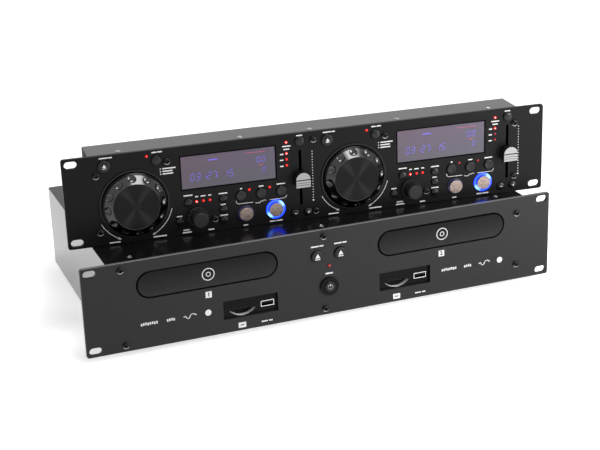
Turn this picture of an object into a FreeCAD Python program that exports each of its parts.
import FreeCAD, Part
import os
import re
import Sketcher

# A dual disc player for DJs: two 19-inch rack units that belong together.
# The drive unit holds two disc drawers. The control unit stands loose on top of it, set back and
# turned a little, with a jog wheel, a display, a track knob, a pitch fader and fifteen push buttons
# for each of its two decks.
#
# Each unit is modelled in a frame of its own: X to the right, Y into the depth, Z up, with the origin
# in the middle of its front panel's face. place() then sets the piece down in the row frame, whose
# origin is the bottom centre of the whole. Lengths are millimetres, the turn is in degrees.

SIZES = {
    # front panels, the same on both units
    "panel_width": 482.6,
    "panel_height": 88.1,
    "panel_thickness": 3.0,
    "panel_corner": 2.5,
    "panel_edge": 0.3,
    "rack_slot_spacing": 465.1,
    "rack_slot_rise": 76.2,
    "rack_slot_length": 12.0,
    "rack_slot_width": 7.0,
    "case_width": 431.8,
    "moving_gap": 0.3,
    "pressed_gap": 0.2,
    "trim_fit": 0.1,
    # drive unit: case
    "drive_depth": 250.0,
    "drive_case_height": 84.0,
    "drive_top_step": 1.8,
    "cover_sheet": 1.0,
    "chassis_sheet": 1.5,
    "frame_rim": 7.0,
    "frame_side_rim": 14.0,
    "foot_radius": 18.0,
    "foot_tip_radius": 16.0,
    "foot_height": 8.0,
    "foot_inset_x": 36.0,
    "foot_inset_y": 38.0,
    # drive unit: drawers
    "deck_offset": 121.0,
    "fascia_width": 136.8,
    "fascia_height": 25.0,
    "fascia_rise": 18.5,
    "fascia_thickness": 4.0,
    "fascia_chamfer": 0.7,
    "fascia_gap": 1.1,
    "tray_width": 128.0,
    "tray_hold": 19.0,
    "tray_thickness": 7.0,
    "tray_rise": 21.5,
    "tray_travel": 135.0,
    "well_diameter": 121.5,
    "well_depth": 2.4,
    "small_well_diameter": 81.5,
    "small_well_depth": 1.1,
    "well_setback": 66.0,
    "pickup_width": 36.0,
    "pickup_front": 19.0,
    "pickup_back": 55.0,
    "housing_width": 146.0,
    "housing_height": 41.0,
    "housing_depth": 176.0,
    "housing_drop": 26.5,
    "housing_sheet": 1.2,
    "runner_reach": 3.0,
    "runner_height": 4.0,
    "bracket_sheet": 1.5,
    "bracket_foot": 12.0,
    "bracket_front": 60.0,
    "bracket_back": 160.0,
    # drive unit: media windows
    "media_offset": 80.5,
    "media_rise": -21.0,
    "media_width": 55.0,
    "media_height": 18.8,
    "bezel_flange": 2.4,
    "bezel_thickness": 2.5,
    "card_offset": -7.6,
    "card_rise": -2.6,
    "card_slot_width": 25.0,
    "card_slot_height": 2.4,
    "card_slot_depth": 22.0,
    "card_guide_wall": 2.0,
    "notch_width": 26.0,
    "notch_height": 6.2,
    "notch_depth": 5.0,
    "usb_offset": 17.6,
    "usb_rise": -0.9,
    "usb_width": 13.1,
    "usb_height": 5.7,
    "usb_depth": 14.0,
    "usb_wall": 0.5,
    "usb_tongue_width": 11.1,
    "usb_tongue_height": 1.8,
    "usb_floor": 3.0,
    # drive unit: buttons and lamp
    "eject_offset": 11.95,
    "eject_rise": 17.9,
    "eject_hole": 12.4,
    "eject_stand_out": 1.6,
    "lamp_offset": 0.4,
    "lamp_rise": 6.4,
    "lamp_diameter": 3.2,
    "lamp_stand_out": 0.8,
    "lamp_length": 6.0,
    "power_rise": -14.5,
    "power_hole": 12.0,
    "power_stand_out": 3.6,
    "power_travel": 1.6,
    "power_collar": 18.4,
    "power_collar_stand_out": 2.2,
    # drive unit: boards and rear sockets
    "board_sheet": 1.6,
    "front_board_depth": 14.0,
    "front_board_width": 44.0,
    "main_board_width": 392.0,
    "main_board_depth": 58.0,
    "board_post_height": 10.0,
    "board_post_side": 6.0,
    "socket_block_depth": 16.0,
    "socket_gap": 0.2,
    "inlet_offset": 170.0,
    "inlet_width": 27.0,
    "inlet_height": 20.0,
    "inlet_wall": 1.6,
    "inlet_flange": 4.0,
    "inlet_flange_thickness": 2.0,
    "inlet_pit": 15.0,
    "inlet_pin_width": 2.0,
    "inlet_pin_height": 4.0,
    "inlet_pin_length": 12.0,
    "inlet_pin_spacing": 7.0,
    "line_offset": -120.0,
    "line_pitch": 50.0,
    "line_block_width": 34.0,
    "line_block_height": 14.0,
    "line_jack_spacing": 18.0,
    "line_jack_diameter": 8.3,
    "line_jack_reach": 9.0,
    "link_offset": 20.0,
    "link_pitch": 40.0,
    "link_diameter": 13.5,
    "link_block_side": 14.0,
    "link_reach": 1.2,
    # control unit: case and stand
    "control_depth": 38.4,
    "control_case_height": 84.0,
    "control_top_step": 1.4,
    "control_sheet": 1.0,
    "control_tab_width": 8.0,
    "control_tab_height": 6.0,
    "control_foot_radius": 6.0,
    "control_foot_tip_radius": 5.2,
    "control_foot_height": 3.1,
    "control_foot_inset_x": 26.0,
    "control_foot_front": 12.0,
    "control_foot_back": 33.0,
    "control_offset_x": 2.5,
    "control_setback": 38.0,
    "control_turn": 4.47,
    "deck_pitch": 216.1,
    "control_board_depth": 14.0,
    "control_board_inset": 10.9,
    "control_board_drop": 7.0,
    "post_side": 4.5,
    # control unit: display
    "display_x": -84.1,
    "display_z": 17.4,
    "display_width": 94.2,
    "display_height": 34.4,
    "display_recess": 0.5,
    "display_fit": 0.15,
    "display_flange": 2.0,
    "display_flange_thickness": 1.5,
    # control unit: jog wheel
    "jog_x": -176.0,
    "jog_z": -6.3,
    "jog_radius": 30.9,
    "jog_edge_out": 2.6,
    "jog_ring_out": 10.8,
    "jog_disc_radius": 22.3,
    "jog_disc_step": 0.8,
    "jog_back": 6.0,
    "jog_shaft_radius": 4.0,
    "jog_shaft_end": 20.0,
    "jog_bearing_gap": 0.05,
    "jog_ring_gap": 0.9,
    "collar_width": 1.45,
    "collar_stand_out": 1.2,
    "dimple_radius": 4.1,
    "dimple_depth": 1.0,
    "dimple_phase": 4.0,
    "dimple_count": 12,
    # control unit: track knob
    "knob_x": -116.5,
    "knob_z": -27.0,
    "knob_skirt_radius": 10.2,
    "knob_skirt_height": 1.6,
    "knob_radius": 8.2,
    "knob_tip_radius": 7.6,
    "knob_out": 14.0,
    "knob_edge": 1.0,
    "knob_lift": 0.5,
    "knob_shaft_radius": 3.0,
    "knob_shaft_gap": 0.05,
    "encoder_side": 12.0,
    "encoder_front": 9.0,
    # control unit: pitch fader
    "fader_x": -13.5,
    "fader_z": -1.0,
    "fader_slot_end": 2.6,
    "fader_slot_width": 2.8,
    "fader_travel": 23.4,
    "fader_cap_width": 14.4,
    "fader_cap_height": 14.6,
    "fader_cap_out": 9.6,
    "fader_cap_lift": 2.4,
    "fader_groove": 1.2,
    "fader_rib_pitch": 2.2,
    "fader_stem_height": 4.0,
    "fader_body_width": 9.0,
    "fader_body_front": 8.0,
    # control unit: push buttons
    "key_travel": 0.8,
    "key_gap": 0.35,
    "key_lip": 0.8,
    "key_lip_thickness": 1.2,
    "key_stem": 3.0,
    "key_stand_out": 1.4,
    "open_hole": 12.4,
    "mode_hole": 9.7,
    "loop_hole": 10.7,
    "small_hole": 8.3,
    "cue_cap": 13.2,
    "cue_ring": 15.6,
    "play_cap": 13.8,
    "play_ring": 18.8,
    "cap_stand_out": 3.2,
    "ring_stand_out": 0.9,
    # fasteners
    "screw_head": 7.0,
    "screw_tip": 5.4,
    "screw_height": 2.0,
}

# Where the push buttons of the left deck stand, from the middle of the control panel's face:
# right, up, and the hole that each comes out of.
KEYS = {
    "open": (-201.9, 33.5, "open_hole"),
    "jog_mode": (-152.8, 33.6, "mode_hole"),
    "source": (-124.9, -12.0, "small_hole"),
    "bpm": (-133.9, -29.9, "small_hole"),
    "repeat": (-90.9, -12.2, "small_hole"),
    "time": (-90.9, -23.0, "small_hole"),
    "single": (-90.9, -33.6, "small_hole"),
    "loop_in": (-73.4, -11.7, "loop_hole"),
    "loop_out": (-53.3, -11.7, "loop_hole"),
    "reloop": (-33.3, -11.7, "loop_hole"),
    "pitch_mode": (-13.5, 35.6, "mode_hole"),
    "bend_minus": (-20.0, -36.3, "small_hole"),
    "bend_plus": (-6.9, -36.3, "small_hole"),
}
LIT_KEYS = {
    "cue": (-69.5, -30.0, "cue_cap", "cue_ring"),
    "play": (-39.6, -29.6, "play_cap", "play_ring"),
}
DECKS = {"deck_1": "0", "deck_2": "deck_pitch"}

# Screw heads, from the middle of each panel's face: right and up.
DRIVE_SCREWS = [(-204.0, 37.2), (-204.0, -37.4), (-4.6, 37.2), (-4.6, -37.4), (204.2, 27.3), (204.2, -27.5)]
CONTROL_SCREWS = [(-210.3, 25.0), (-210.3, -30.4), (210.3, 28.0), (210.3, -27.0)]
CONTROL_POST_SCREWS = [(-142.9, 31.4), (73.1, 31.4), (-100.0, -31.3), (116.0, -31.3), (0.2, 36.0),
                       (0.8, -36.4)]
# Screw heads in the case tops: right, and back from the panel's face.
COVER_SCREWS = [(-190.2, 17.0), (-0.6, 15.0), (189.2, 17.0)]
CASE_SCREWS = [(-186.0, 12.5), (-69.0, 12.5), (0.5, 12.5), (90.0, 12.5), (187.0, 12.5)]

DERIVED = {
    "tray_length": "tray_travel + tray_hold",
    "fader_slot_length": "2 * (fader_travel + fader_slot_end) + fader_stem_height",
    "half_panel": "panel_height / 2",
    "frame_back": "panel_thickness + chassis_sheet",
    "drive_top": "half_panel - drive_top_step",
    "drive_bottom": "drive_top - drive_case_height",
    "floor_top": "drive_bottom + chassis_sheet",
    "drive_rear": "panel_thickness + drive_depth",
    "chassis_half": "case_width / 2 - cover_sheet",
    "inner_half": "chassis_half - chassis_sheet",
    "fascia_back": "fascia_thickness - moving_gap",
    "housing_bottom": "fascia_rise - housing_drop",
    "control_top": "half_panel - control_top_step",
    "control_bottom": "control_top - control_case_height",
    "control_rear": "panel_thickness + control_depth",
    "jog_hole_radius": "jog_radius + jog_ring_gap",
    "main_board_bottom": "floor_top + board_post_height",
    "main_board_top": "main_board_bottom + board_sheet",
}

doc = FreeCAD.newDocument("DualDiscPlayer")
sheet = doc.addObject("Spreadsheet::Sheet", "Sizes")
vector = FreeCAD.Vector
made = []


def fill_sheet():
    """Puts every size in the sheet under its own name, then the sizes that follow from them."""
    rows = [(name, str(number)) for name, number in SIZES.items()]
    for key, (x, z, *_) in (KEYS | LIT_KEYS).items():
        rows += [(f"{key}_x", str(x)), (f"{key}_z", str(z))]
    rows += [(name, "=" + rule) for name, rule in DERIVED.items()]
    for line, (name, content) in enumerate(rows, 1):
        sheet.set(f"A{line}", name)
        sheet.set(f"B{line}", content)
        sheet.setAlias(f"B{line}", name)
    doc.recompute()
    return {name for name, _ in rows}


NAMES = fill_sheet()


def named(rule):
    """The rule with each size name pointing at its cell in the sheet."""
    return re.sub(r"[a-z_][a-z_0-9]*", lambda m: "Sizes." + m[0] if m[0] in NAMES else m[0], str(rule))


def size(rule):
    """The rule's value now."""
    return float(sheet.evalExpression(str(rule)))


def bind(thing, **rules):
    """Ties properties of an object to rules: place_x stands for Placement.Base.x."""
    for name, rule in rules.items():
        path = f"Placement.Base.{name[-1]}" if name.startswith("place_") else name
        thing.setExpression(path, named(rule))
    return thing


# ---- pieces made from solids ----

def box(left, front, bottom, width, depth, height):
    thing = doc.addObject("Part::Box", "Block")
    return bind(thing, Length=width, Width=depth, Height=height, place_x=left, place_y=front, place_z=bottom)


def middle_box(x, front, z, width, depth, height):
    """A box whose front face is centred on x and z."""
    return box(f"{x} - ({width}) / 2", front, f"{z} - ({height}) / 2", width, depth, height)


def turned_to_depth(thing):
    """Turns a piece made along Z so that it runs into the depth, along Y."""
    thing.Placement.Rotation = FreeCAD.Rotation(vector(1, 0, 0), -90)
    return thing


def rod(x, front, z, diameter, length):
    thing = turned_to_depth(doc.addObject("Part::Cylinder", "Rod"))
    return bind(thing, Radius=f"({diameter}) / 2", Height=length, place_x=x, place_y=front, place_z=z)


def upright_cone(x, y, bottom, low_radius, high_radius, height):
    thing = doc.addObject("Part::Cone", "Cone")
    return bind(thing, Radius1=low_radius, Radius2=high_radius, Height=height,
                place_x=x, place_y=y, place_z=bottom)


def cut(base, *tools):
    result = doc.addObject("Part::Cut", "Cut")
    result.Base = base
    result.Tool = tools[0] if len(tools) == 1 else joined(*tools)
    return result


def joined(*pieces):
    result = doc.addObject("Part::MultiFuse", "Joined")
    result.Shapes = list(pieces)
    result.Refine = True
    return result


def together(*pieces):
    """Separate solids that share one node."""
    result = doc.addObject("Part::Compound", "Group")
    result.Links = list(pieces)
    return result


# ---- pieces made from sketches ----

def new_body():
    return doc.addObject("PartDesign::Body", "Body")


def origin_part(body, role):
    return next(part for part in body.Origin.OriginFeatures if part.Role == role)


def sketch_on(body, role, offset="0"):
    """A sketch on one of the body's own planes, moved by offset along the plane's normal.
    XZ_Plane faces the front, so there a depth y is the offset -y."""
    sketch = body.newObject("Sketcher::SketchObject", "Sketch")
    sketch.AttachmentSupport = [(origin_part(body, role), "")]
    sketch.MapMode = "FlatFace"
    sketch.setExpression("AttachmentOffset.Base.z", named(offset))
    return sketch


def front_sketch(body, depth="0"):
    return sketch_on(body, "XZ_Plane", f"-({depth})")


def hold(sketch, kind, *where, rule):
    """A dimension of the sketch, tied to a rule."""
    index = sketch.addConstraint(Sketcher.Constraint(kind, *where, size(rule)))
    sketch.setExpression(f"Constraints[{index}]", named(rule))


def pin_point(sketch, edge, end, x, y):
    hold(sketch, "DistanceX", -1, 1, edge, end, rule=x)
    hold(sketch, "DistanceY", -1, 1, edge, end, rule=y)


def circle(sketch, x, y, diameter):
    radius = f"({diameter}) / 2"
    edge = sketch.addGeometry(Part.Circle(vector(size(x), size(y), 0), vector(0, 0, 1), size(radius)))
    hold(sketch, "Radius", edge, rule=radius)
    pin_point(sketch, edge, 3, x, y)


def outline(sketch, corners):
    """A closed run of straight edges through the corners, each corner tied to its own rules."""
    points = [vector(size(x), size(y), 0) for x, y in corners]
    edges = [sketch.addGeometry(Part.LineSegment(a, b)) for a, b in zip(points, points[1:] + points[:1])]
    for edge, after in zip(edges, edges[1:] + edges[:1]):
        sketch.addConstraint(Sketcher.Constraint("Coincident", edge, 2, after, 1))
    for edge, (x, y) in zip(edges, corners):
        pin_point(sketch, edge, 1, x, y)


def rectangle(sketch, x, y, width, height):
    left, right = f"{x} - ({width}) / 2", f"{x} + ({width}) / 2"
    low, high = f"{y} - ({height}) / 2", f"{y} + ({height}) / 2"
    outline(sketch, [(left, low), (right, low), (right, high), (left, high)])


def long_hole(sketch, x, y, length, width, upright=False):
    """A hole with round ends: two half circles joined by two straight edges."""
    reach, radius = f"(({length}) - ({width})) / 2", f"({width}) / 2"
    along = (lambda t, s: (s, t)) if upright else (lambda t, s: (t, s))
    r, middle = size(radius), vector(size(x), size(y), 0)
    arcs = []
    for sign in (1, -1):
        tip = middle + vector(*along(sign * (size(reach) + r), 0), 0)
        sides = [middle + vector(*along(sign * size(reach), s * sign * r), 0) for s in (-1, 1)]
        arcs.append(sketch.addGeometry(Part.Arc(sides[0], tip, sides[1])))
    # an upright hole's arcs run the other way round, so their ends swap
    first, last = (2, 1) if upright else (1, 2)
    for here, there in ((0, 1), (1, 0)):
        a, b = (sketch.getPoint(arcs[here], last), sketch.getPoint(arcs[there], first))
        edge = sketch.addGeometry(Part.LineSegment(a, b))
        sketch.addConstraint(Sketcher.Constraint("Tangent", arcs[here], last, edge, 1))
        sketch.addConstraint(Sketcher.Constraint("Tangent", edge, 2, arcs[there], first))
    hold(sketch, "Radius", arcs[0], rule=radius)
    for arc, sign in zip(arcs, ("+", "-")):
        place = (x, f"{y} {sign} {reach}") if upright else (f"{x} {sign} {reach}", y)
        if arc == arcs[0]:
            pin_point(sketch, arc, 3, *place)
        else:
            axis = "DistanceY" if upright else "DistanceX"
            hold(sketch, axis, -1, 1, arc, 3, rule=place[1] if upright else place[0])


def pad(body, sketch, length, backwards=True):
    """Gives the sketch thickness, into the depth unless backwards is off."""
    feature = body.newObject("PartDesign::Pad", "Pad")
    feature.Profile = sketch
    feature.Reversed = backwards
    return bind(feature, Length=length)


def pocket(body, sketch, length=None):
    """Cuts the sketch out of the body behind it, right through where no length is given."""
    feature = body.newObject("PartDesign::Pocket", "Pocket")
    feature.Profile = sketch
    if length is None:
        feature.Type = "ThroughAll"
        return feature
    return bind(feature, Length=length)


def spun(body, sketch):
    """Turns a half profile, drawn on XY_Plane, about the Y axis."""
    feature = body.newObject("PartDesign::Revolution", "Turned")
    feature.Profile = sketch
    feature.ReferenceAxis = (origin_part(body, "Y_Axis"), [""])
    feature.Angle = 360
    return feature


def round_pattern(body, feature, count):
    """Repeats a feature evenly about the Y axis."""
    pattern = body.newObject("PartDesign::PolarPattern", "Round")
    pattern.Originals = [feature]
    pattern.Axis = (origin_part(body, "Y_Axis"), [""])
    pattern.Angle = 360
    bind(pattern, Occurrences=count)
    body.Tip = pattern
    return pattern


def face_names(shape, direction):
    """The flat faces whose outward side points along direction."""
    return [f"Face{number}" for number, face in enumerate(shape.Faces, 1)
            if face.Surface.TypeId == "Part::GeomPlane" and (face.normalAt(0, 0) - direction).Length < 1e-6]


def edge_names(shape, direction):
    """The straight edges that run along direction."""
    return [f"Edge{number}" for number, edge in enumerate(shape.Edges, 1)
            if edge.Curve.TypeId == "Part::GeomLine"
            and edge.tangentAt(edge.FirstParameter).cross(direction).Length < 1e-6]


def rounded(body, feature, names, rule):
    """Rounds the named edges of a feature."""
    rounding = body.newObject("PartDesign::Fillet", "Rounding")
    rounding.Base = (feature, names)
    return bind(rounding, Radius=rule)


def broken_edge(body, feature, direction, rule):
    """Takes the sharpness off the edges round the flat face that looks along direction."""
    doc.recompute()
    edge = body.newObject("PartDesign::Chamfer", "Edge")
    edge.Base = (feature, face_names(feature.Shape, direction))
    return bind(edge, Size=rule)


# ---- placing ----

def row_origin():
    """The bottom centre of the whole, in the drive unit's frame."""
    turn = FreeCAD.Rotation(vector(0, 0, 1), -size("control_turn"))
    corners = [turn.multVec(vector(side * size("panel_width / 2"), depth, 0)).x + size("control_offset_x")
               for side in (-1, 1) for depth in (0, size("panel_thickness"))]
    corners += [-size("panel_width / 2"), size("panel_width / 2")]
    across = (min(corners) + max(corners)) / 2
    deep = size("drive_rear + line_jack_reach - power_stand_out") / 2
    return vector(across, deep, size("drive_bottom - foot_height"))


def unit_places():
    """Where each unit's own frame stands in the row frame."""
    drive = FreeCAD.Placement(-row_origin(), FreeCAD.Rotation())
    stand = size("drive_top - control_bottom + control_foot_height")
    shift = vector(size("control_offset_x"), size("control_setback"), stand)
    turn = FreeCAD.Rotation(vector(0, 0, 1), -size("control_turn"))
    return {"drive": drive, "control": drive.multiply(FreeCAD.Placement(shift, turn))}


UNITS = unit_places()


def place(piece, label, unit, x="0", z="0"):
    """Names a finished piece and sets it down at x and z of its unit."""
    own = FreeCAD.Placement(vector(size(x), 0, size(z)), FreeCAD.Rotation())
    piece.Label = label
    piece.Placement = UNITS[unit].multiply(own)
    made.append(piece)


# ---- drive unit ----

def rack_panel():
    """The plate that both units share: its outline, rounded corners and four rack slots."""
    body = new_body()
    face = front_sketch(body)
    rectangle(face, "0", "0", "panel_width", "panel_height")
    plate = pad(body, face, "panel_thickness")
    doc.recompute()
    plate = rounded(body, plate, edge_names(plate.Shape, vector(0, 1, 0)), "panel_corner")
    broken_edge(body, plate, vector(0, -1, 0), "panel_edge")
    slots = front_sketch(body)
    for side in ("-", "+"):
        for level in ("-", "+"):
            long_hole(slots, f"{side}rack_slot_spacing / 2", f"{level}rack_slot_rise / 2",
                      "rack_slot_length", "rack_slot_width")
    pocket(body, slots)
    return body


def drive_panel():
    body = rack_panel()
    holes = front_sketch(body)
    for side in ("-", "+"):
        long_hole(holes, f"{side}deck_offset", "fascia_rise",
                  "fascia_width + 2 * fascia_gap", "fascia_height + 2 * fascia_gap")
        rectangle(holes, f"{side}media_offset", "media_rise", "media_width", "media_height")
        circle(holes, f"{side}eject_offset", "eject_rise", "eject_hole")
    circle(holes, "lamp_offset", "lamp_rise", "lamp_diameter + 2 * trim_fit")
    circle(holes, "0", "power_rise", "power_hole")
    pocket(body, holes)
    place(body, "player_panel", "drive")


def drive_chassis():
    """The folded tray: floor, low walls, the frame behind the panel and the rear wall."""
    body = new_body()
    outer = front_sketch(body, "panel_thickness")
    height = "drive_case_height - cover_sheet"
    rectangle(outer, "0", f"drive_bottom + ({height}) / 2", "2 * chassis_half", height)
    pad(body, outer, "drive_depth")
    inside = front_sketch(body, "frame_back")
    outline(inside, [("-inner_half", "floor_top"), ("inner_half", "floor_top"),
                     ("inner_half", "drive_top"), ("-inner_half", "drive_top")])
    pocket(body, inside, "drive_depth - 2 * chassis_sheet")
    window = front_sketch(body, "panel_thickness")
    reach, low = "inner_half - frame_side_rim", "floor_top + frame_rim"
    high = "drive_top - cover_sheet - frame_rim"
    outline(window, [(f"-({reach})", low), (reach, low), (reach, high), (f"-({reach})", high)])
    pocket(body, window, "chassis_sheet")
    rear = front_sketch(body, "drive_rear - chassis_sheet")
    rectangle(rear, "inlet_offset", "main_board_top + inlet_height / 2", "inlet_width + 2 * socket_gap",
              "inlet_height + 2 * socket_gap")
    for deck in (0, 1):
        rectangle(rear, f"line_offset + {deck} * line_pitch", "main_board_top + line_block_height / 2",
                  "line_block_width + 2 * socket_gap", "line_block_height + 2 * socket_gap")
        circle(rear, f"link_offset + {deck} * link_pitch", "main_board_top + link_block_side / 2",
               "link_diameter + 2 * socket_gap")
    pocket(body, rear)
    place(body, "player_chassis", "drive")


def drive_cover():
    """The black sheet that wraps the top and both sides."""
    body = new_body()
    section = front_sketch(body, "panel_thickness")
    under = "drive_top - cover_sheet"
    outline(section, [("-case_width / 2", "drive_bottom"), ("-chassis_half", "drive_bottom"),
                      ("-chassis_half", under), ("chassis_half", under),
                      ("chassis_half", "drive_bottom"), ("case_width / 2", "drive_bottom"),
                      ("case_width / 2", "drive_top"), ("-case_width / 2", "drive_top")])
    sheet = pad(body, section, "drive_depth")
    doc.recompute()
    top = size("drive_top")
    rounded(body, sheet, [name for name in edge_names(sheet.Shape, vector(0, 1, 0))
                          if abs(sheet.Shape.getElement(name).CenterOfMass.z - top) < 1e-6], "cover_sheet")
    place(body, "player_cover", "drive")


def drive_feet():
    feet = []
    for side in ("-", "+"):
        for y in ("panel_thickness + foot_inset_y", "drive_rear - foot_inset_y"):
            feet.append(upright_cone(f"{side}(case_width / 2 - foot_inset_x)", y,
                                     "drive_bottom - foot_height", "foot_tip_radius", "foot_radius",
                                     "foot_height"))
    place(together(*feet), "player_feet", "drive")


def panel_screw(x, z):
    """A screw head on a panel's face, narrower towards the front."""
    head = turned_to_depth(doc.addObject("Part::Cone", "Screw"))
    return bind(head, Radius1="screw_tip / 2", Radius2="screw_head / 2", Height="screw_height",
                place_x=x, place_y="-screw_height", place_z=z)


def top_screw(x, y, z):
    return upright_cone(x, y, z, "screw_head / 2", "screw_tip / 2", "screw_height")


def drive_screws():
    heads = [panel_screw(x, z) for x, z in DRIVE_SCREWS]
    heads += [top_screw(x, y, "drive_top") for x, y in COVER_SCREWS]
    place(together(*heads), "player_screws", "drive")


def tray_plate():
    """The disc tray: a stepped well for large and small discs and a window for the pickup."""
    body = new_body()
    centre = "fascia_back + well_setback"
    plan = sketch_on(body, "XY_Plane", "tray_rise")
    rectangle(plan, "0", "fascia_back + tray_length / 2", "tray_width", "tray_length")
    pad(body, plan, "tray_thickness")
    wells = (("well_diameter", "well_depth"), ("small_well_diameter", "well_depth + small_well_depth"))
    for diameter, depth in wells:
        well = sketch_on(body, "XY_Plane", "tray_rise")
        circle(well, "0", centre, diameter)
        pocket(body, well, depth)
    window = sketch_on(body, "XY_Plane", "tray_rise")
    long_hole(window, "0", f"{centre} + (pickup_back - pickup_front) / 2", "pickup_front + pickup_back",
              "pickup_width", upright=True)
    pocket(body, window)
    return body


def tray_fascia():
    """The drawer front, a plate with round ends that fills the panel's opening."""
    body = new_body()
    face = front_sketch(body, "-moving_gap")
    long_hole(face, "0", "fascia_rise", "fascia_width", "fascia_height")
    plate = pad(body, face, "fascia_thickness")
    broken_edge(body, plate, vector(0, -1, 0), "fascia_chamfer")
    return body


def drawers():
    for deck, side in (("1", "-"), ("2", "+")):
        place(together(tray_plate(), tray_fascia()), f"tray_{deck}", "drive", x=f"{side}deck_offset")


def drive_housing(side):
    """One drive's sheet housing, open at the front, with the tray's runners and its two brackets."""
    body = new_body()
    x, front = f"{side}deck_offset", "frame_back"
    inner = "housing_width - 2 * housing_sheet"
    outer = front_sketch(body, front)
    rectangle(outer, x, "housing_bottom + housing_height / 2", "housing_width", "housing_height")
    pad(body, outer, "housing_depth")
    hollow = front_sketch(body, front)
    rectangle(hollow, x, "housing_bottom + housing_height / 2", inner, "housing_height - 2 * housing_sheet")
    pocket(body, hollow, "housing_depth - housing_sheet")
    runner = "(housing_width - tray_width) / 2 - housing_sheet + runner_reach"
    rails = front_sketch(body, front)
    for wall in ("-", "+"):
        rectangle(rails, f"{x} {wall} (({inner}) - ({runner})) / 2",
                  "tray_rise - tray_thickness - moving_gap - runner_height / 2", runner, "runner_height")
    pad(body, rails, "housing_depth - housing_sheet / 2")
    for depth in ("bracket_front", "bracket_back"):
        plate = front_sketch(body, depth)
        rectangle(plate, x, "(housing_bottom + floor_top) / 2", "housing_width", "housing_bottom - floor_top")
        pad(body, plate, "bracket_sheet")
        foot = front_sketch(body, depth)
        rectangle(foot, x, "floor_top + bracket_sheet / 2", "housing_width", "bracket_sheet")
        pad(body, foot, "bracket_foot")
    return body


def drive_housings():
    place(together(drive_housing("-"), drive_housing("+")), "drive_housings", "drive")


def media_bezel(side):
    """The moulded plate behind a media window, with the card slot, its finger notch and a USB window."""
    body = new_body()
    x, card_z = f"{side}media_offset", "media_rise + card_rise"
    card_x = f"{x} + card_offset"
    front = "panel_thickness"
    plate = front_sketch(body, front)
    rectangle(plate, x, "media_rise", "media_width + 2 * bezel_flange", "media_height + 2 * bezel_flange")
    pad(body, plate, "bezel_thickness")
    guide_top = f"{card_z} + card_slot_height / 2 + card_guide_wall"
    guide_low = f"{card_z} - notch_height - card_guide_wall / 2"
    half = "notch_width / 2 + card_guide_wall"
    guide = front_sketch(body, f"{front} + bezel_thickness")
    outline(guide, [(f"{card_x} - ({half})", guide_low), (f"{card_x} + {half}", guide_low),
                    (f"{card_x} + {half}", guide_top), (f"{card_x} - ({half})", guide_top)])
    pad(body, guide, "card_slot_depth")
    slot = front_sketch(body, front)
    rectangle(slot, card_x, card_z, "card_slot_width", "card_slot_height")
    pocket(body, slot, "card_slot_depth")
    notch = front_sketch(body, front)
    half_moon(notch, card_x, card_z, "notch_width", "notch_height")
    pocket(body, notch, "notch_depth")
    socket = front_sketch(body, front)
    rectangle(socket, f"{x} + usb_offset", "media_rise + usb_rise", "usb_width + 2 * socket_gap",
              "usb_height + 2 * socket_gap")
    pocket(body, socket, "bezel_thickness")
    return body


def half_moon(sketch, x, top, width, drop):
    """A flat-topped segment of a circle."""
    half = size(f"({width}) / 2")
    left, right = vector(size(x) - half, size(top), 0), vector(size(x) + half, size(top), 0)
    low = vector(size(x), size(f"{top} - ({drop})"), 0)
    arc = sketch.addGeometry(Part.Arc(left, low, right))
    line = sketch.addGeometry(Part.LineSegment(right, left))
    start, end = (1, 2) if (sketch.getPoint(arc, 1) - left).Length < 1e-6 else (2, 1)
    sketch.addConstraint(Sketcher.Constraint("Coincident", arc, end, line, 1))
    sketch.addConstraint(Sketcher.Constraint("Coincident", arc, start, line, 2))
    pin_point(sketch, line, 1, f"{x} + ({width}) / 2", top)
    pin_point(sketch, line, 2, f"{x} - ({width}) / 2", top)
    hold(sketch, "Radius", arc, rule=f"(({width}) * ({width}) / 4 + ({drop}) * ({drop})) / (2 * ({drop}))")


def media_bezels():
    place(together(media_bezel("-"), media_bezel("+")), "media_bezels", "drive")


def usb_port(side):
    """A metal shell open at the front, with its contact tongue."""
    x, z, front = f"{side}media_offset + usb_offset", "media_rise + usb_rise", "panel_thickness"
    shell = cut(middle_box(x, front, z, "usb_width", "usb_depth", "usb_height"),
                middle_box(x, front, z, "usb_width - 2 * usb_wall", "usb_depth - usb_floor",
                           "usb_height - 2 * usb_wall"))
    tongue = box(f"{x} - usb_tongue_width / 2", f"{front} + usb_wall",
                 f"{z} + usb_height / 2 - usb_wall - usb_tongue_height - moving_gap",
                 "usb_tongue_width", "usb_depth - usb_floor", "usb_tongue_height")
    return joined(shell, tongue)


def usb_ports():
    place(together(usb_port("-"), usb_port("+")), "usb_ports", "drive")


def push_button(hole, stand_out, travel, board, gap="key_gap"):
    """A round cap in its hole. Two lips behind the panel hold it in, and a stem reaches for the switch
    on the board, which it just clears when it is pressed."""
    cap, lip_front = f"({hole}) - 2 * ({gap})", "panel_thickness + moving_gap"
    face = rod("0", f"-({stand_out})", "0", cap, f"({stand_out}) + {lip_front}")
    lip = middle_box("0", lip_front, "0", f"({cap}) + 2 * key_lip", "key_lip_thickness",
                     f"({cap}) - 2 * key_lip")
    stem_front = f"{lip_front} + key_lip_thickness"
    stem = middle_box("0", stem_front, "0", "key_stem",
                      f"({board}) - ({travel}) - pressed_gap - ({stem_front})", "key_stem")
    return joined(face, lip, stem)


def drive_buttons():
    for deck, side in (("1", "-"), ("2", "+")):
        button = push_button("eject_hole", "eject_stand_out", "key_travel", "front_board_depth")
        place(button, f"player_open_button_{deck}", "drive", x=f"{side}eject_offset", z="eject_rise")
    button = push_button("power_hole", "power_stand_out", "power_travel", "front_board_depth")
    place(button, "power_button", "drive", z="power_rise")


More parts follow.
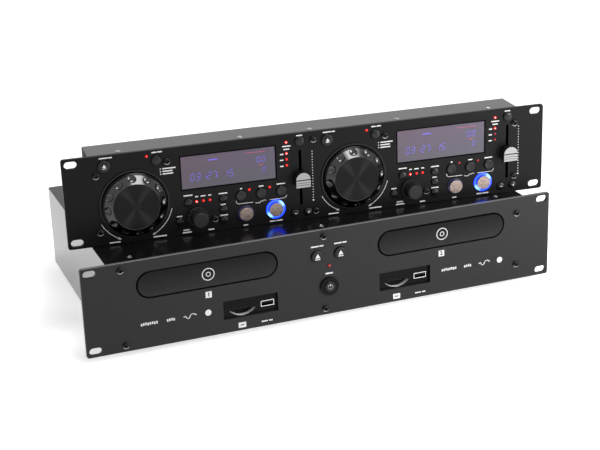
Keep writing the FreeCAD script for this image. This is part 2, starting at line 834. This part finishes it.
def power_button_trim():
    """The collar round the power button and the small lamp above it."""
    collar = cut(rod("0", "-power_collar_stand_out", "power_rise", "power_collar", "power_collar_stand_out"),
                 rod("0", "-power_collar_stand_out", "power_rise", "power_hole", "power_collar_stand_out"))
    lamp = rod("lamp_offset", "-lamp_stand_out", "lamp_rise", "lamp_diameter", "lamp_length")
    place(together(collar, lamp), "power_button_trim", "drive")


def board_post(x, y, side, height):
    return box(f"{x} - {side} / 2", f"{y} - {side} / 2", "floor_top", side, side, height)


def main_board():
    """The board behind the drives on four posts, and the upright switch board behind the panel."""
    front = "drive_rear - chassis_sheet - main_board_depth"
    plate = box("-main_board_width / 2", front, "main_board_bottom", "main_board_width",
                "main_board_depth", "board_sheet")
    pieces = [plate]
    for side in ("-", "+"):
        for y in (f"{front} + board_post_side", f"{front} + main_board_depth - board_post_side"):
            pieces.append(board_post(f"{side}(main_board_width / 2 - board_post_side)", y,
                                     "board_post_side", "board_post_height"))
    low, high = "floor_top + frame_rim / 2", "drive_top - cover_sheet - frame_rim / 2"
    switches = [box("-front_board_width / 2", "front_board_depth", f"{low} - post_side / 2",
                    "front_board_width", "board_sheet", f"({high}) - ({low}) + post_side")]
    for side in ("-", "+"):
        for level in (low, high):
            switches.append(middle_box(f"{side}(front_board_width - post_side) / 2", "frame_back", level,
                                       "post_side", "front_board_depth - frame_back", "post_side"))
    place(together(joined(*pieces), joined(*switches)), "main_board", "drive")


def mains_inlet():
    """A three-pin inlet: a flange on the rear wall round a pit with its pins."""
    x, z = "inlet_offset", "main_board_top + inlet_height / 2"
    front = "drive_rear - socket_block_depth"
    shell = middle_box(x, front, z, "inlet_width", "socket_block_depth + inlet_flange_thickness",
                       "inlet_height")
    flange = middle_box(x, "drive_rear", z, "inlet_width + 2 * inlet_flange", "inlet_flange_thickness",
                        "inlet_height + inlet_flange")
    back = "drive_rear + inlet_flange_thickness"
    pit = middle_box(x, f"{back} - inlet_pit", z, "inlet_width - 2 * inlet_wall", "inlet_pit",
                     "inlet_height - 2 * inlet_wall")
    pins = [middle_box(f"{x} + {step} * inlet_pin_spacing", f"{back} - inlet_pit",
                       f"{z} {side} inlet_pin_height / 2", "inlet_pin_width", "inlet_pin_length",
                       "inlet_pin_height") for step, side in ((-1, "-"), (0, "+"), (1, "-"))]
    return joined(cut(joined(shell, flange), pit), *pins)


def line_sockets(deck):
    """A block on the board with the left and right line output of one deck."""
    x, z = f"line_offset + {deck} * line_pitch", "main_board_top + line_block_height / 2"
    block = middle_box(x, "drive_rear - socket_block_depth", z, "line_block_width", "socket_block_depth",
                       "line_block_height")
    jacks = [rod(f"{x} {side} line_jack_spacing / 2", "drive_rear", z, "line_jack_diameter",
                 "line_jack_reach") for side in ("-", "+")]
    return joined(block, *jacks)


def link_socket(x, z, front, back):
    """A round control-link socket on a square block."""
    block = middle_box(x, front, z, "link_block_side", f"({back}) - chassis_sheet - socket_gap - ({front})",
                       "link_block_side")
    barrel = rod(x, front, z, "link_diameter", f"({back}) + link_reach - ({front})")
    return joined(block, barrel)


def rear_connectors():
    links = [link_socket(f"link_offset + {deck} * link_pitch", "main_board_top + link_block_side / 2",
                         "drive_rear - socket_block_depth", "drive_rear") for deck in (0, 1)]
    place(together(mains_inlet(), line_sockets(0), line_sockets(1), *links), "rear_connectors", "drive")


# ---- control unit ----

def control_panel():
    body = rack_panel()
    holes = front_sketch(body)
    for shift in DECKS.values():
        for key, (*_, hole) in KEYS.items():
            circle(holes, f"{key}_x + {shift}", f"{key}_z", hole)
        for key, (*_, ring) in LIT_KEYS.items():
            circle(holes, f"{key}_x + {shift}", f"{key}_z", f"{ring} + 2 * trim_fit")
        circle(holes, f"jog_x + {shift}", "jog_z", "2 * jog_hole_radius")
        circle(holes, f"knob_x + {shift}", "knob_z", "2 * (knob_shaft_radius + knob_shaft_gap)")
        rectangle(holes, f"display_x + {shift}", "display_z", "display_width", "display_height")
        long_hole(holes, f"fader_x + {shift}", "fader_z", "fader_slot_length", "fader_slot_width",
                  upright=True)
    pocket(body, holes)
    place(body, "controller_panel", "control")


def control_case():
    """The shallow folded pan behind the control panel, with a tab behind each of the panel's end screws."""
    body = new_body()
    middle, height = "(control_top + control_bottom) / 2", "control_top - control_bottom"
    outer = front_sketch(body, "panel_thickness")
    rectangle(outer, "0", middle, "case_width", height)
    pan = pad(body, outer, "control_depth")
    doc.recompute()
    folds = edge_names(pan.Shape, vector(0, 1, 0)) + face_names(pan.Shape, vector(0, 1, 0))
    rounded(body, pan, folds, "control_sheet")
    inside = front_sketch(body, "panel_thickness")
    rectangle(inside, "0", middle, "case_width - 2 * control_sheet", f"{height} - 2 * control_sheet")
    pocket(body, inside, "control_depth - control_sheet")
    tabs = front_sketch(body, "panel_thickness")
    for x, z in CONTROL_SCREWS:
        side = "-" if x < 0 else ""
        rectangle(tabs, f"{side}(case_width - control_tab_width) / 2", z, "control_tab_width",
                  "control_tab_height")
    pad(body, tabs, "control_sheet")
    sockets = front_sketch(body, "control_rear - control_sheet")
    for side in ("-", "+"):
        circle(sockets, f"{side}link_pitch / 2", "0", "link_diameter + 2 * socket_gap")
    pocket(body, sockets)
    place(body, "controller_case", "control")


def control_feet():
    feet = []
    for side in ("-", "+"):
        for y in ("control_foot_front", "control_foot_back"):
            feet.append(upright_cone(f"{side}(case_width / 2 - control_foot_inset_x)", y,
                                     "control_bottom - control_foot_height", "control_foot_tip_radius",
                                     "control_foot_radius", "control_foot_height"))
    place(together(*feet), "controller_feet", "control")


def control_screws():
    heads = [panel_screw(x, z) for x, z in CONTROL_SCREWS + CONTROL_POST_SCREWS]
    heads += [top_screw(x, y, "control_top") for x, y in CASE_SCREWS]
    place(together(*heads), "controller_screws", "control")


def display_windows():
    """A clear plate in each display opening, with a flange that lies behind the panel."""
    windows = []
    for shift in DECKS.values():
        x, z = f"display_x + {shift}", "display_z"
        pane = middle_box(x, "display_recess", z, "display_width - 2 * display_fit",
                          "panel_thickness - display_recess", "display_height - 2 * display_fit")
        flange = middle_box(x, "panel_thickness", z, "display_width + 2 * display_flange",
                            "display_flange_thickness", "display_height + 2 * display_flange")
        windows.append(joined(pane, flange))
    place(together(*windows), "display_windows", "control")


def ring(x, z, front, length, outer, inner):
    return cut(rod(x, front, z, outer, length), rod(x, front, z, inner, length))


def jog_collars():
    outer, inner = "2 * (jog_hole_radius + collar_width)", "2 * jog_hole_radius"
    collars = [ring(f"jog_x + {shift}", "jog_z", "-collar_stand_out", "collar_stand_out", outer, inner)
               for shift in DECKS.values()]
    place(together(*collars), "jog_collars", "control")


def light_rings():
    """The lit rings that line the holes of the cue and play buttons."""
    rings = []
    for shift in DECKS.values():
        for key, (_, _, cap, outer) in LIT_KEYS.items():
            rings.append(ring(f"{key}_x + {shift}", f"{key}_z", "-ring_stand_out",
                              "ring_stand_out + panel_thickness", outer, f"{cap} + 2 * key_gap"))
    place(together(*rings), "light_rings", "control")


def control_board():
    """The board on six posts, with a display module, an encoder and a fader body for each deck, and
    two link sockets towards the rear."""
    front, gap = "control_board_depth", "jog_bearing_gap"
    plate = box("-(case_width / 2 - control_board_inset)", front, "control_bottom + control_board_drop",
                "case_width - 2 * control_board_inset", "board_sheet",
                "control_case_height - 2 * control_board_drop")
    holes = [rod(f"jog_x + {shift}", front, "jog_z", f"2 * (jog_shaft_radius + {gap})", "board_sheet")
             for shift in DECKS.values()]
    pieces = [cut(plate, *holes)]
    for x, z in CONTROL_POST_SCREWS:
        pieces.append(middle_box(x, "panel_thickness", z, "post_side", f"{front} - panel_thickness",
                                 "post_side"))
    window_back = "panel_thickness + display_flange_thickness"
    for shift in DECKS.values():
        pieces.append(middle_box(f"display_x + {shift}", window_back, "display_z", "display_width",
                                 f"{front} - ({window_back})", "display_height"))
        pieces.append(middle_box(f"knob_x + {shift}", "encoder_front", "knob_z", "encoder_side",
                                 f"{front} - encoder_front", "encoder_side"))
        pieces.append(middle_box(f"fader_x + {shift}", "fader_body_front", "fader_z", "fader_body_width",
                                 f"{front} - fader_body_front", "fader_slot_length"))
    for side in ("-", "+"):
        pieces.append(link_socket(f"{side}link_pitch / 2", "0", f"{front} + board_sheet", "control_rear"))
    place(joined(*pieces), "controller_board", "control")


def keys():
    for deck, shift in DECKS.items():
        for key, (*_, hole) in KEYS.items():
            button = push_button(hole, "key_stand_out", "key_travel", "control_board_depth")
            place(button, f"{deck}_{key}_button", "control", x=f"{key}_x + {shift}", z=f"{key}_z")
        for key, (_, _, cap, _) in LIT_KEYS.items():
            button = push_button(f"{cap} + 2 * key_gap", "cap_stand_out", "key_travel", "control_board_depth")
            place(button, f"{deck}_{key}_button", "control", x=f"{key}_x + {shift}", z=f"{key}_z")


def jog_wheel():
    """A wheel with a sloping ring of finger dimples round a flat disc, on a shaft that runs in the board."""
    body = new_body()
    profile = sketch_on(body, "XY_Plane")
    face = "-(jog_ring_out - jog_disc_step)"
    outline(profile, [("0", face), ("jog_disc_radius", face), ("jog_disc_radius", "-jog_ring_out"),
                      ("jog_radius", "-jog_edge_out"), ("jog_radius", "jog_back"),
                      ("jog_shaft_radius", "jog_back"), ("jog_shaft_radius", "jog_shaft_end"),
                      ("0", "jog_shaft_end")])
    spun(body, profile)
    slope = vector(size("jog_radius - jog_disc_radius"), size("jog_ring_out - jog_edge_out"), 0).normalize()
    outward = vector(slope.y, -slope.x, 0)
    middle = vector(size("(jog_radius + jog_disc_radius) / 2"), -size("(jog_ring_out + jog_edge_out) / 2"), 0)
    ball = size("(dimple_radius * dimple_radius + dimple_depth * dimple_depth) / (2 * dimple_depth)")
    centre = middle + outward * (ball - size("dimple_depth"))
    turn = FreeCAD.Rotation(vector(0, 1, 0), -size("dimple_phase"))
    dimple = body.newObject("PartDesign::SubtractiveSphere", "Dimple")
    dimple.Radius = ball
    dimple.Placement = FreeCAD.Placement(turn.multVec(centre), FreeCAD.Rotation())
    round_pattern(body, dimple, "dimple_count")
    return body


def track_knob():
    """A tapered grip on a low skirt, with its shaft through the panel."""
    body = new_body()
    profile = sketch_on(body, "XY_Plane")
    outline(profile, [("0", "-knob_out"), ("knob_tip_radius - knob_edge", "-knob_out"),
                      ("knob_tip_radius", "-(knob_out - knob_edge)"),
                      ("knob_radius", "-(knob_lift + knob_skirt_height)"),
                      ("knob_skirt_radius", "-(knob_lift + knob_skirt_height)"),
                      ("knob_skirt_radius", "-knob_lift"), ("knob_shaft_radius", "-knob_lift"),
                      ("knob_shaft_radius", "encoder_front - moving_gap"),
                      ("0", "encoder_front - moving_gap")])
    spun(body, profile)
    return body


def fader_cap():
    """A cap with a round top half and a ribbed lower half, on a blade that runs in the slot."""
    body = new_body()
    face = front_sketch(body, "-fader_cap_out")
    tombstone(face, "fader_cap_width", "fader_cap_height")
    pad(body, face, "fader_cap_out - fader_cap_lift")
    groove = front_sketch(body, "-fader_cap_out")
    rectangle(groove, "0", "0", "fader_cap_width + 2", "fader_groove")
    pocket(body, groove, "fader_groove")
    ribs = front_sketch(body, "-fader_cap_out")
    for step in (1, 2):
        rectangle(ribs, "0", f"-{step} * fader_rib_pitch - fader_groove / 2", "fader_cap_width + 2",
                  "fader_groove / 2")
    pocket(body, ribs, "fader_groove / 2")
    blade = front_sketch(body, "-fader_cap_lift")
    rectangle(blade, "0", "0", "fader_slot_width - 2 * moving_gap", "fader_stem_height")
    pad(body, blade, "fader_cap_lift + fader_body_front - moving_gap")
    return body


def tombstone(sketch, width, height):
    """A flat-bottomed outline with a half-round top, centred on the origin."""
    half, shoulder = size(f"({width}) / 2"), size(f"({height} - {width}) / 2")
    low = -size(f"({height}) / 2")
    corners = [vector(-half, shoulder, 0), vector(-half, low, 0), vector(half, low, 0),
               vector(half, shoulder, 0)]
    lines = [sketch.addGeometry(Part.LineSegment(a, b)) for a, b in zip(corners, corners[1:])]
    arc = sketch.addGeometry(Part.Arc(corners[3], vector(0, shoulder + half, 0), corners[0]))
    for edge, after in zip(lines, lines[1:]):
        sketch.addConstraint(Sketcher.Constraint("Coincident", edge, 2, after, 1))
    sketch.addConstraint(Sketcher.Constraint("Coincident", lines[2], 2, arc, 1))
    sketch.addConstraint(Sketcher.Constraint("Coincident", arc, 2, lines[0], 1))
    hold(sketch, "DistanceY", -1, 1, arc, 3, rule=f"({height} - {width}) / 2")
    pin_point(sketch, lines[0], 1, f"-({width}) / 2", f"({height} - {width}) / 2")
    pin_point(sketch, lines[1], 1, f"-({width}) / 2", f"-({height}) / 2")
    pin_point(sketch, lines[2], 1, f"({width}) / 2", f"-({height}) / 2")
    hold(sketch, "DistanceX", -1, 1, lines[2], 2, rule=f"({width}) / 2")
    hold(sketch, "DistanceY", -1, 1, lines[2], 2, rule=f"({height} - {width}) / 2")


def turning_and_sliding():
    for deck, shift in DECKS.items():
        place(jog_wheel(), f"{deck}_jog_wheel", "control", x=f"jog_x + {shift}", z="jog_z")
        place(track_knob(), f"{deck}_track_knob", "control", x=f"knob_x + {shift}", z="knob_z")
        place(fader_cap(), f"{deck}_pitch_fader", "control", x=f"fader_x + {shift}", z="fader_z")


# ---- building and writing ----

def build():
    drive_panel()
    drive_chassis()
    drive_cover()
    drive_feet()
    drive_screws()
    drawers()
    drive_housings()
    media_bezels()
    usb_ports()
    drive_buttons()
    power_button_trim()
    main_board()
    rear_connectors()
    control_panel()
    control_case()
    control_feet()
    control_screws()
    display_windows()
    jog_collars()
    light_rings()
    control_board()
    keys()
    turning_and_sliding()
    doc.recompute()


def check():
    for thing in doc.Objects:
        if "Invalid" in thing.State or "Error" in thing.State:
            raise RuntimeError(f"{thing.Label} failed: {thing.State}")
    for piece in made:
        if piece.Shape.isNull() or not piece.Shape.isValid() or not piece.Shape.Solids:
            raise RuntimeError(f"{piece.Label} has no valid solid")


def write():
    os.makedirs("parts", exist_ok=True)
    for piece in made:
        piece.Shape.exportStep(f"parts/{piece.Label}.step")
    print(len(made), "sub-parts written")


build()
check()
write()
